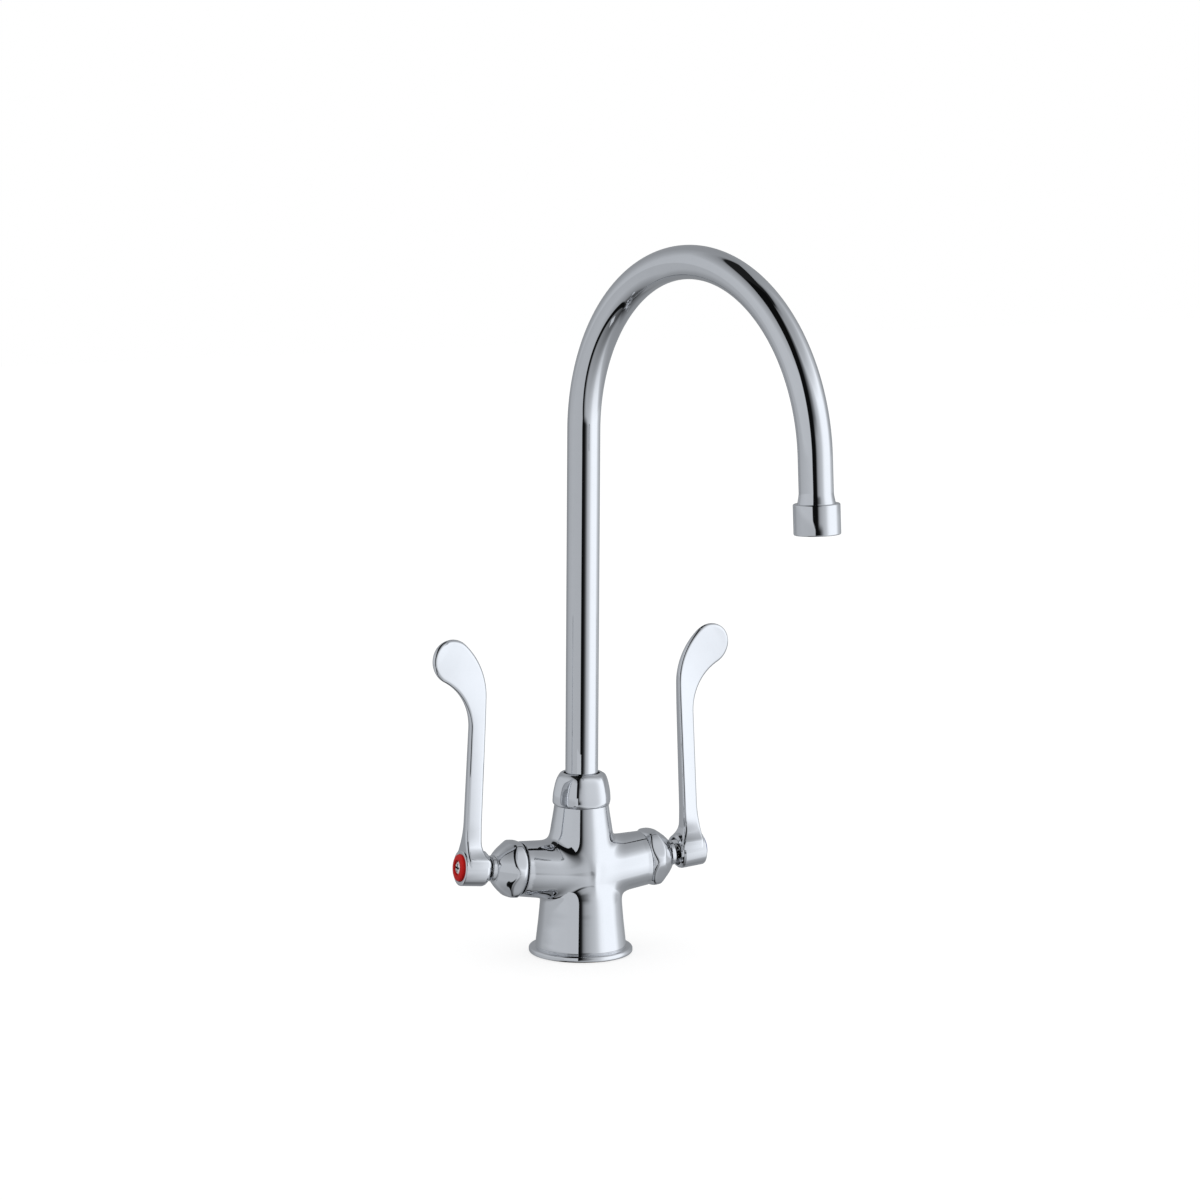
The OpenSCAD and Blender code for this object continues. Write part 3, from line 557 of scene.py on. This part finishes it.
def make_spout_nut():
    bottom, top = 86.2, 104.5
    thread_r, thread_top, opening_r, bore_top = 12.6, 97, 10.3, 97.6
    rows = stations((86.3, 89, 10), (89, 100, 14), (100, 104.3, 14))
    crown("spout_nut_crown", BASE, NUT_CORNERS, NUT_LIMIT, NUT_TURN, NUT_SHARPNESS, rows,
          ["spout_nut"], "spout_nut_chrome")
    collar = rounded([(11.72, 104.28, 0), (11.2, top, 0.2), (opening_r, top, 0.5),
                      (opening_r, bore_top, 0)])
    turned_piece("spout_nut_collar", BASE, collar, "body", [], "spout_nut_chrome")
    foot = rounded([(15.98, 86.31, 0), (15.5, bottom, 0.2), (thread_r, bottom, 0.2),
                    (thread_r, thread_top, 0)])
    turned_piece("spout_nut_foot", BASE, foot, "body", [], "spout_nut_chrome")


def make_bonnet(side, label):
    lip_r, lip_bore, lip_start, thread_r, thread_start = 7.3, 5.6, 49, 12.45, 36
    rows = stations((39, 44, 16), (44, 49, 26), (49, 54.4, 14))
    crown(label + "_bonnet_crown", ARM[side], BONNET_CORNERS, BONNET_LIMIT, BONNET_TURN,
          BONNET_SHARPNESS, rows, [label + "_bonnet"], "bonnet_chrome", flip=side == HOT)
    lip = rounded([(8.65, 54.35, 0), (lip_r, 54.6, 0.5), (lip_r, BONNET_END, 0.6),
                   (lip_bore, BONNET_END, 0.3), (lip_bore, lip_start, 0)])
    turned_piece(label + "_bonnet_lip", ARM[side], lip, "body", [], "bonnet_chrome")
    back = rounded([(14.85, 39.0, 0), (14.0, BONNET_Z, 0.3), (thread_r, BONNET_Z, 0.2),
                    (thread_r, thread_start, 0)])
    turned_piece(label + "_bonnet_back", ARM[side], back, "body", [], "bonnet_chrome")


# Spout
# The tube starts at this height, inside the nut, and ends this far inside the outlet shell. It
# flares out above the shell, by how much and over what length
TUBE_FOOT, TUBE_LAP = 97, 0.6
FLARE, FLARE_LEN = 0.9, 6.0
straight, bend_len = RISER_TOP - TUBE_FOOT, BEND_R * BEND_ANGLE
tube_end = straight + bend_len + DROP_LEN - OUTLET_H + TUBE_LAP
flare_start = tube_end - (FLARE_LEN + TUBE_LAP)


def tube_surface(u, v):
    """u runs round the tube, v along it from its foot."""
    turn = np.clip((v - straight) / BEND_R, 0, BEND_ANGLE)[:, None]
    riser, drop = np.minimum(v, straight), np.maximum(v - straight - bend_len, 0)
    ahead = np.sin(turn) * OUT + np.cos(turn) * UP
    outward = np.cos(turn) * OUT - np.sin(turn) * UP
    centre = ((TUBE_FOOT + riser)[:, None] * UP + BEND_R * OUT - BEND_R * outward
              + drop[:, None] * ahead)
    flare = np.clip((v - flare_start) / FLARE_LEN, 0, 1)
    radius = TUBE_R + FLARE * flare * flare * (3 - 2 * flare) ** 0.5
    return (centre + (radius * np.cos(u))[:, None] * outward
            + (radius * np.sin(u))[:, None] * np.cross(OUT, UP))


def make_gooseneck(count=96):
    rows = stations((0, straight, 30), (straight, straight + bend_len, 150),
                    (straight + bend_len, flare_start, 6), (flare_start, tube_end, 14))
    verts, faces, normals = sheet(tube_surface, np.arange(count) * 2 * math.pi / count, rows)
    piece("spout_gooseneck", verts, faces, "spout", ["spout_tube"], "tube_chrome",
          normals=-normals, flip=True)


def make_outlet():
    inside, outside, top = 10.0, 12.6, DROP_LEN - OUTLET_H
    profile = rounded([
        (inside, top + 1.4, 0), (10.25, top + 0.15, 0.2), (10.6, top, 0.2), (outside, top, 0.9),
        (outside, DROP_LEN, 0.7), (10.9, DROP_LEN, 0.5), (inside, DROP_LEN - 1.0, 0.2),
        (11.0, DROP_LEN - 1.1, 0)])
    turned_piece("outlet_sleeve", TIP, profile, "spout", ["outlet_shell"], "outlet_chrome")


# Handles
# On a blade p runs outwards from its centre line and q up from the valve axis. The blade leans
# outwards, and its centre line meets the axis at this distance from the body's axis
LEAN, BLADE_OUT = math.radians(2.9), 68.75
HALF_W, OUTER_BEND, INNER_BEND = 5.0, 30.0, 40.0
PADDLE, PADDLE_R = np.array((16.4, 118.2)), 12.4
# Where the blade starts, inside the hub
ROOT_Q = 2.0
# The root's inner edge spreads along the hub: how much, below which height, how fast, and at most
ROOT_SPREAD, SPREAD_Q, SPREAD_RUN, SPREAD_MOST = 4.2, 15, 10, 4.4
# Thickness of the paddle, of the inner edge above the hub, and of the root; the outer edge's share
PADDLE_THICK, BLADE_THICK, ROOT_THICK, OUTER_SHARE = 3.4, 9.4, 20.3, 0.68
# Heights at which the root's thickness starts to fall and has died out, on either edge
ROOT_TOP, INNER_FLARE_Q, OUTER_FLARE_Q = 6, 18, 28
# Both blades' faces turn towards the cold side: by how much, from which height, and over what
TWIST, TWIST_FROM, TWIST_RUN = math.radians(9.5), 12, 15
# How steeply the crowned faces fall at their edges
CROWN = math.radians(3.5)
# Rounding of the blade's edges, and its limit as a share of the thickness
EDGE_R, EDGE_SHARE = 1.7, 0.46
# Stage of the outline at which the inner edge starts to bend; the outer one starts at 1
INNER_START = 1.4

outer_q = PADDLE[1] - math.sqrt((OUTER_BEND + PADDLE_R) ** 2
                                - (HALF_W + OUTER_BEND - PADDLE[0]) ** 2)
inner_q = PADDLE[1] - math.sqrt((INNER_BEND - PADDLE_R) ** 2
                                - (INNER_BEND - HALF_W - PADDLE[0]) ** 2)
outer_end = math.atan2(PADDLE[1] - outer_q, PADDLE[0] - HALF_W - OUTER_BEND)
inner_end = math.atan2(PADDLE[1] - inner_q, PADDLE[0] + HALF_W - INNER_BEND)
cap_mid, cap_half = (inner_end + outer_end - math.pi) / 2, (inner_end - outer_end + math.pi) / 2


def direction(angle):
    return np.stack([np.cos(angle), np.sin(angle)], -1)


def bend_point(centre, radius, share, end):
    """A point on a bend that starts level with its centre and ends at an angle."""
    return np.array(centre) + radius * direction(math.pi - np.clip(share, 0, 1) * (math.pi - end))


def edges_at(stage):
    """Points (p, q) on the inner and outer edge. The outline follows the CAD source above the hub:
    it runs straight up to stage 1, bends up to stage 2 and goes round the paddle up to stage 3."""
    straight_q = ROOT_Q + stage * (outer_q - ROOT_Q)
    spread = ROOT_SPREAD * np.maximum(0, (SPREAD_Q - straight_q) / SPREAD_RUN) ** 2
    inner = np.stack([-HALF_W - np.minimum(spread, SPREAD_MOST), straight_q], -1)
    outer = np.stack([np.full_like(stage, HALF_W), straight_q], -1)
    climb = np.clip((stage - 1) / (INNER_START - 1), 0, 1)
    rise = np.stack([np.full_like(stage, -HALF_W), outer_q + climb * (inner_q - outer_q)], -1)
    share = (stage - INNER_START) / (2 - INNER_START)
    inner_bend = bend_point((INNER_BEND - HALF_W, inner_q), INNER_BEND, share, inner_end)
    outer_bend = bend_point((OUTER_BEND + HALF_W, outer_q), OUTER_BEND, stage - 1, outer_end)
    round_turn = (3 - stage) * cap_half
    past_straight, past_rise, past_bend = ((stage >= k)[..., None] for k in (1, INNER_START, 2))
    inner = np.where(past_straight, np.where(past_rise, inner_bend, rise), inner)
    outer = np.where(past_straight, outer_bend, outer)
    inner = np.where(past_bend, PADDLE + PADDLE_R * direction(cap_mid + round_turn), inner)
    outer = np.where(past_bend, PADDLE + PADDLE_R * direction(cap_mid - round_turn), outer)
    return inner, outer


def edge_thickness(q, share, flare_q):
    taper = np.maximum(0, 1 - q / (PADDLE[1] + PADDLE_R)) ** 0.6
    base = PADDLE_THICK + (share * BLADE_THICK - PADDLE_THICK) * taper
    flare = np.clip((flare_q - q) / (flare_q - ROOT_TOP), 0, 1) ** 2.5
    return base + (ROOT_THICK - base) * flare


def blade_surface(front, side):
    def surface(u, v):
        """u runs across from the inner to the outer edge, v up the blade's stages."""
        inner, outer = edges_at(np.clip(v, 0, 3))
        span = outer - inner
        width = np.linalg.norm(span, axis=1)
        p = inner + span * u[:, None]
        thick = ((1 - u) * edge_thickness(inner[:, 1], 1.0, INNER_FLARE_Q)
                 + u * edge_thickness(outer[:, 1], OUTER_SHARE, OUTER_FLARE_Q))
        rim = np.minimum(u, 1 - u) * width
        round_rim = PADDLE_R - np.linalg.norm(p - PADDLE, axis=1)
        rim = np.where(v > 2, np.maximum(round_rim, 0), rim)
        edge = np.minimum(EDGE_R, EDGE_SHARE * thick)
        inside = np.clip(rim / edge, 0, 1)
        half = thick / 2 - edge + edge * np.sqrt(np.maximum(1 - (1 - inside) ** 2, 0))
        half = half - math.tan(CROWN) * width / 4 * (2 * u - 1) ** 2
        twisted = np.clip((inner[:, 1] - TWIST_FROM) / TWIST_RUN, 0, 1)
        twisted = twisted * twisted * (3 - 2 * twisted)
        middle = -side * math.tan(TWIST) * (u - 0.5) * width * twisted
        up = p[:, 1] * math.cos(LEAN) - p[:, 0] * math.sin(LEAN)
        out = BLADE_OUT + p[:, 0] * math.cos(LEAN) + p[:, 1] * math.sin(LEAN)
        return np.stack([up, front * half + middle, out], 1)
    return surface


def make_blade(side, label):
    """Front and back face, joined by a strip along each of the four rims."""
    across = 0.5 - 0.5 * np.cos(np.linspace(0, math.pi, 33))
    short_of_tip = 0.9999
    round_stages = 2 + np.sin(np.linspace(0, math.pi / 2, 30)) * short_of_tip
    stages = np.concatenate([stations((0, 0.35, 26), (0.35, 1, 22), (1, 2, 40))[:-1], round_stages])
    (front, quads, _), (back, _, _) = (
        sheet(blade_surface(way, side), across, stages, closed=False) for way in (1, -1))
    count = len(front)
    faces = quads + [[i + count for i in quad] for quad in quads]
    grid = np.arange(count).reshape(len(across), len(stages))
    for rim in (grid[0], grid[-1], grid[:, 0], grid[:, -1]):
        corners = rim.tolist()
        faces += [[i, j, j + count, i + count] for i, j in zip(corners, corners[1:])]
    piece(label + "_blade", ARM[side](np.concatenate([front, back])), faces,
          label + "_handle_set", [label + "_handle"], "handle_chrome", sharp=70)


# The recess in the hub's outer end that takes the index ring
RECESS_Z, RECESS_R = 73.8, 7.75


def make_hub(side, label):
    back_r, back_z, screw_r = 8.0, 63.5, 4.1
    profile = rounded([
        (4.5, back_z, 0), (back_r, back_z, 0.3), (back_r, HUB_IN, 0.3), (8.7, HUB_IN, 0.3),
        (9.8, 60.7, 0.6), (HUB_R, 61.9, 0.8), (HUB_R, HUB_OUT, 0.9), (RECESS_R, HUB_OUT, 0.35),
        (RECESS_R, RECESS_Z, 0.1), (screw_r, RECESS_Z, 0.1), (screw_r, 72.3, 0)])
    turned_piece(label + "_hub", ARM[side], profile, label + "_handle_set", [], "handle_chrome")


def make_index_ring(side, label):
    inside, outside, top = 4.3, 7.62, 77.1
    slot = "index_red" if side == HOT else "index_blue"
    profile = rounded([(inside, RECESS_Z, 0), (inside, top, 0.3), (6.9, 76.65, 0.5),
                       (outside, 76.1, 0.4), (outside, RECESS_Z, 0)])
    turned_piece(label + "_index_disc", ARM[side], profile, label + "_handle_set",
                 [label + "_index_ring"], slot, sharp=60, count=96)


def make_slot_painted_shade(side, label):
    """Painted shade in the cross slot of the screw's head: walls and floor in black rubber stand in
    for the slot's shadow.
    """
    w, reach, floor_z, top_z = 0.53, 2.38, 75.2, 76.66
    outline = [(w, w), (reach, w), (reach, -w), (w, -w), (w, -reach), (-w, -reach),
               (-w, -w), (-reach, -w), (-reach, w), (-w, w), (-w, reach), (w, reach)]
    verts = np.array([(x, y, z) for z in (floor_z, top_z) for x, y in outline])
    walls = [[k, (k + 1) % 12, (k + 1) % 12 + 12, k + 12] for k in range(12)]
    floor = [[0, 3, 6, 9], [0, 9, 10, 11], [0, 1, 2, 3], [3, 4, 5, 6], [6, 7, 8, 9]]
    # The black rubber slot here is painted shade, not a part of the screw
    piece(label + "_slot_painted_shade", ARM[side](verts), walls + floor, label + "_handle_set", [],
          "seal_rubber", sharp=30)


# Stage and light
# What the chrome reflects, as curves of (degrees, level) stops. Seen from the part, azimuth 0 is
# where the camera stands, and azimuths grow to the camera's right. Elevation 0 is the horizon.
RIGHT = (math.cos(VIEW_TURN), -math.sin(VIEW_TURN))
NEAR = (-math.sin(VIEW_TURN), -math.cos(VIEW_TURN))
# How much brighter the studio is than its reflection in chrome, and its faint blue
PLATE, STUDIO_TINT = 1.22, (0.93, 0.968, 1.02, 1)
# Azimuth of the left panel's right edge at each elevation, as a share of EDGE_TURN, and its blur
EDGE_TURN, EDGE_BLUR = -90, 3
PANEL_EDGE = ((-90, 1), (-60, 0.85), (-45, 0.62), (-36, 0.48), (-24, 0.27), (-14, 0.12),
              (-6.3, 0.12), (-3.4, 0.25), (30, 0.28), (42, 0.37), (48, 0.47), (54, 0.61), (60, 1))
# The left panel's level over azimuth, its limit over elevation, and what is left of it low down
PANEL = ((-180, 0.27), (-148, 0.29), (-128, 0.36), (-114, 0.46), (-80, 0.51), (-20, 0.50))
PANEL_LIMIT = ((-80, 0.02), (-70, 0.10), (-64, 0.27), (-48, 0.40), (-30, 0.54), (20, 0.56),
               (36, 0.40), (54, 0.27), (57, 0.20), (59, 0.008))
PANEL_SHARE = ((-6.5, 0.86), (-3.5, 1))
# The right side's curve is turned by this share of SLIDE_TURN at each elevation
SLIDE_TURN = -86
SLIDE = ((-90, 1), (-17, 0.09), (-12, 0.04), (-11, 0))
# The right side's level over azimuth: it rises from a dark gap quickly or slowly, and this is the
# slow one's share at each elevation
QUICK = ((-1, 0.004), (3, 0.02), (8, 0.21), (14, 0.33), (26, 0.44), (38, 0.53), (45, 0.64),
         (51, 0.80), (58, 0.93), (68, 0.98), (100, 0.98), (108, 0.82), (116, 0.55), (126, 0.40),
         (145, 0.30), (180, 0.26))
SLOW = ((-1, 0.004), (6, 0.008), (10, 0.015), (15, 0.06), (21, 0.16), (27, 0.33), (33, 0.46),
        (39, 0.53), (45, 0.62), (51, 0.77), (57, 0.90), (63, 0.96), (72, 0.98), (109, 0.98),
        (117, 0.74), (130, 0.50), (145, 0.36), (180, 0.26))
SLOW_SHARE = ((-16, 0), (-12, 1), (-6, 1), (-3.2, 0), (9, 0), (18, 0.7))
# The right side's limits: below, a level over azimuth times a share over elevation, and above, a
# level over elevation
GROUND = ((-60, 0.40), (18, 0.46), (30, 0.52), (38, 0.58), (45, 0.66), (51, 0.80), (58, 0.92),
          (68, 0.98), (100, 0.98), (108, 0.84), (116, 0.60), (130, 0.46), (180, 0.36))
GROUND_FALL = ((-88, 0.08), (-78, 0.22), (-68, 0.36), (-56, 0.52), (-42, 0.70), (-26, 0.88),
               (-12, 1))
TOP_LIMIT = ((24, 1), (36, 0.68), (48, 0.46), (60, 0.36), (72, 0.31), (78, 0.2), (82, 0.01))


def ramp(tree, source, stops, low, high):
    """A curve through (position, level) stops, for a value that runs from low to high."""
    spread = add(tree, "ShaderNodeMapRange", **{"From Min": low, "From Max": high})
    tree.links.new(source, spread.inputs["Value"])
    node = add(tree, "ShaderNodeValToRGB")
    tree.links.new(spread.outputs["Result"], node.inputs[0])
    while len(node.color_ramp.elements) < len(stops):
        node.color_ramp.elements.new(0.5)
    for element, (place, level) in zip(node.color_ramp.elements, stops):
        element.position = (place - low) / (high - low)
        element.color = (level, level, level, 1)
    return node.outputs["Color"]


def studio_world():
    """Mirrors see a grey panel on the left, a dark gap and a white side on the right. The camera
    and everything that isn't a mirror see plain white."""
    world = bpy.data.worlds.new("studio")
    bpy.context.scene.world = world
    world.use_nodes = True
    tree = world.node_tree
    tree.nodes.clear()
    link = tree.links.new
    place = add(tree, "ShaderNodeTexCoord")
    parts = add(tree, "ShaderNodeSeparateXYZ")
    link(place.outputs["Generated"], parts.inputs[0])

    def maths(kind, a, b=None, clamp=False):
        node = add(tree, "ShaderNodeMath", operation=kind, use_clamp=clamp)
        for k, value in enumerate((a, b)):
            if isinstance(value, (int, float)):
                node.inputs[k].default_value = value
            elif value is not None:
                link(value, node.inputs[k])
        return node.outputs[0]

    x, y, z = parts.outputs
    right, near = (maths("ADD", maths("MULTIPLY", x, way[0]), maths("MULTIPLY", y, way[1]))
                   for way in (RIGHT, NEAR))
    turn = maths("MULTIPLY", maths("ARCTAN2", right, near), 180 / math.pi)
    height = maths("MULTIPLY", maths("ARCSINE", z), 180 / math.pi)

    def by_height(stops):
        return ramp(tree, height, stops, -90, 90)

    edge = maths("MULTIPLY", by_height(PANEL_EDGE), EDGE_TURN)
    inside = maths("DIVIDE", maths("SUBTRACT", edge, turn), EDGE_BLUR)
    inside = maths("ADD", inside, 0.5, clamp=True)
    inside = maths("MULTIPLY", inside, by_height(PANEL_SHARE))
    panel = ramp(tree, turn, PANEL, -180, 180)
    left = maths("MULTIPLY", inside, maths("MINIMUM", panel, by_height(PANEL_LIMIT)))

    along = maths("SUBTRACT", turn, maths("MULTIPLY", by_height(SLIDE), SLIDE_TURN))
    rising = add(tree, "ShaderNodeMix", data_type="FLOAT")
    link(by_height(SLOW_SHARE), rising.inputs["Factor"])
    for key, stops in (("A", QUICK), ("B", SLOW)):
        link(ramp(tree, along, stops, -60, 270), rising.inputs[key])
    ground = maths("MULTIPLY", ramp(tree, turn, GROUND, -180, 180), by_height(GROUND_FALL))
    limit = maths("MINIMUM", ground, by_height(TOP_LIMIT))
    side = maths("MINIMUM", rising.outputs["Result"], limit)

    tint = add(tree, "ShaderNodeMix", data_type="RGBA", blend_type="MULTIPLY")
    tint.inputs["Factor"].default_value = 1
    link(maths("MULTIPLY", maths("ADD", left, side), PLATE), tint.inputs["A"])
    tint.inputs["B"].default_value = STUDIO_TINT
    studio = add(tree, "ShaderNodeBackground")
    link(tint.outputs["Result"], studio.inputs["Color"])
    white = add(tree, "ShaderNodeBackground", Color=(1, 1, 1, 1))
    path = add(tree, "ShaderNodeLightPath")
    plain = maths("ADD", path.outputs["Is Camera Ray"], path.outputs["Is Diffuse Ray"], clamp=True)
    choose = add(tree, "ShaderNodeMixShader")
    out = add(tree, "ShaderNodeOutputWorld")
    for k, source in enumerate((plain, studio.outputs[0], white.outputs[0])):
        link(source, choose.inputs[k])
    link(choose.outputs[0], out.inputs["Surface"])


def flat_sheet(name, corners, material):
    mesh = bpy.data.meshes.new(name)
    mesh.from_pydata(corners, [], [[0, 1, 2, 3]])
    mesh.materials.append(material)
    obj = bpy.data.objects.new(name, mesh)
    bpy.context.collection.objects.link(obj)
    return obj


def make_low_card():
    """A pale card in front and low down, which narrows the dark line on the body's neck and base.
    It shows in reflections alone."""
    left, right, towards, bottom, top = -0.075, -0.0098, 0.12, -0.03, 0.094
    material, tree, _ = node_material("low_card")
    glow = add(tree, "ShaderNodeEmission", Color=STUDIO_TINT, Strength=0.5 * PLATE)
    tree.links.new(glow.outputs[0], tree.nodes["Material Output"].inputs["Surface"])
    corners = [(across * RIGHT[0] + towards * NEAR[0], across * RIGHT[1] + towards * NEAR[1], z)
               for across, z in ((left, bottom), (right, bottom), (right, top), (left, top))]
    card = flat_sheet("low_card", corners, material)
    card.visible_camera = card.visible_diffuse = card.visible_shadow = False


def make_floor():
    """A floor that the camera sees as white, but for the part's soft shadow."""
    half, drop, own_light = 3, 0.0003, 0.70
    material, tree, shader = node_material("floor_white")
    shader.inputs["Base Color"].default_value = (0.35, 0.35, 0.35, 1)
    shader.inputs["Roughness"].default_value = 0.8
    shader.inputs["Specular IOR Level"].default_value = 0.0
    path = add(tree, "ShaderNodeLightPath")
    gain = add(tree, "ShaderNodeMath", operation="MULTIPLY")
    gain.inputs[1].default_value = own_light
    tree.links.new(path.outputs["Is Camera Ray"], gain.inputs[0])
    glow = add(tree, "ShaderNodeEmission")
    tree.links.new(gain.outputs[0], glow.inputs["Strength"])
    both = add(tree, "ShaderNodeAddShader")
    tree.links.new(shader.outputs[0], both.inputs[0])
    tree.links.new(glow.outputs[0], both.inputs[1])
    tree.links.new(both.outputs[0], tree.nodes["Material Output"].inputs["Surface"])
    corners = [(-half, -half, 0), (half, -half, 0), (half, half, 0), (-half, half, 0)]
    floor = flat_sheet("floor", corners, material)
    floor.location = (0, 0, -drop)
    floor.visible_glossy = False


make_body_shell()
make_body_foot()
make_body_rim()
for side, label in SIDES:
    make_arm_mouth(side, label)
make_spout_nut()
for side, label in SIDES:
    make_bonnet(side, label)
make_gooseneck()
make_outlet()
for side, label in SIDES:
    make_blade(side, label)
    make_hub(side, label)
    make_index_ring(side, label)
    make_slot_painted_shade(side, label)
studio_world()
make_floor()
make_low_card()
bpy.context.scene.view_settings.view_transform = "Standard"
